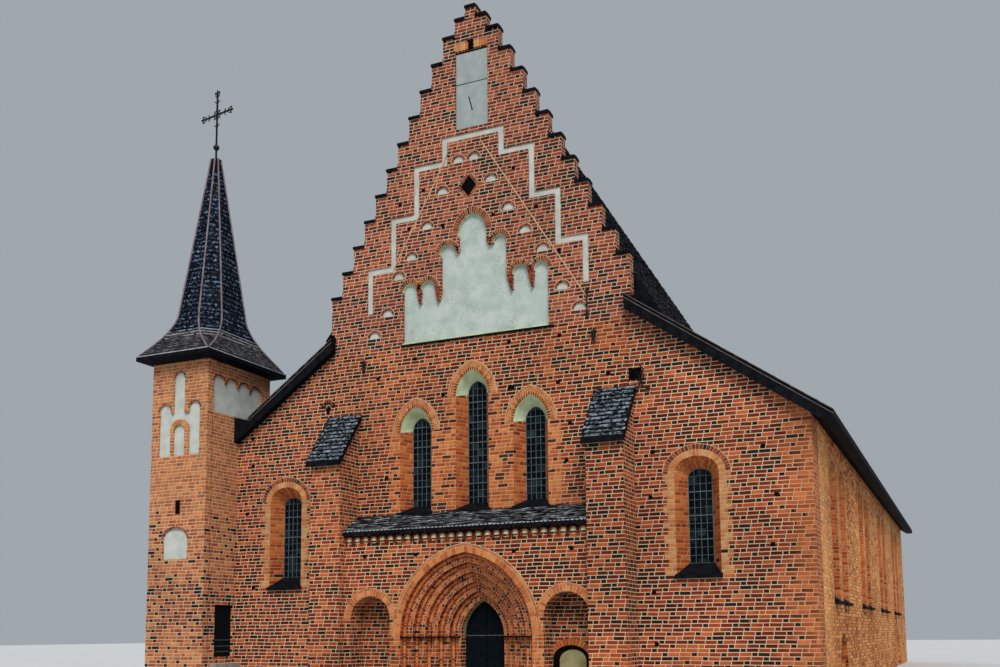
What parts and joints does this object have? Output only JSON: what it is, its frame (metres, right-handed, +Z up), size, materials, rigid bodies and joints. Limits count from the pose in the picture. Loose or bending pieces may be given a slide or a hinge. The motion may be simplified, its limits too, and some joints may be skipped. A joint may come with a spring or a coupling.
{
  "type": "brick church with a stepped west gable and a stair tower",
  "caption": "Brick church with a stepped and niched west gable, lean-to aisles, a portal porch and a slim shingled stair tower.",
  "frame": {"origin": "on the ground in the portal, in the plane of the west front", "axes": "+Z up, +Y along the nave away from the west front, +X towards the south aisle"},
  "size_m": [19.885, 34.55, 19.595],
  "materials": {
    "brick": "weathered brick",
    "shingle": "tarred shingle",
    "leaded_glass": "old leaded glass",
    "dark_wood": "dark painted boards",
    "stone": "worn stone",
    "iron": "black paint"
  },
  "bodies": {
    "church": {"porch_left_pier": "brick", "porch_right_pier": "brick", "porch_arch": "brick", "front_wall_left": "brick", "front_wall_right": "brick", "front_wall_upper": "brick", "west_gable": "brick", "west_bay_east_gable": "brick", "south_aisle_front": "brick", "north_aisle_front": "brick", "south_wall": "brick", "north_wall": "brick", "east_wall": "brick", "south_arcade": "brick", "north_arcade": "brick", "left_buttress": "brick", "right_buttress": "brick", "tower_west_wall": "brick", "tower_north_wall": "brick", "tower_east_wall": "brick", "tower_south_wall": "brick", "tower_wall_over_door": "brick", "tower_floor": "brick", "porch_roof": "shingle", "west_bay_roof_south": "shingle", "west_bay_roof_north": "shingle", "nave_roof_south": "shingle", "nave_roof_north": "shingle", "south_aisle_roof": "shingle", "north_aisle_roof": "shingle", "left_buttress_roof": "shingle", "right_buttress_roof": "shingle", "spire": "shingle", "front_glazing_left": "leaded_glass", "front_glazing_centre": "leaded_glass", "front_glazing_right": "leaded_glass", "south_aisle_glazing": "leaded_glass", "north_aisle_glazing": "leaded_glass", "south_glazing": "leaded_glass", "north_glazing": "leaded_glass", "east_glazing": "leaded_glass", "floor_slab": "stone", "tower_steps": "stone", "spire_cross": "iron"},
    "left_leaf": {"portal_door_left": "dark_wood"},
    "right_leaf": {"portal_door_right": "dark_wood"},
    "tower_leaf": {"tower_door": "dark_wood"}
  },
  "joints": [
    {"name": "left_leaf_hinge", "type": "hinge", "parent": "church", "child": "left_leaf", "pos_m": [-0.61, 0.786, 1], "axis": [0, 0, 1], "range_deg": [0, 90]},
    {"name": "right_leaf_hinge", "type": "hinge", "parent": "church", "child": "right_leaf", "pos_m": [0.77, 0.786, 1], "axis": [0, 0, -1], "range_deg": [0, 90]},
    {"name": "tower_door_hinge", "type": "hinge", "parent": "church", "child": "tower_leaf", "pos_m": [-8.045, -0.867, 1.7], "axis": [0, 0, 1], "range_deg": [0, 90]}
  ]
}
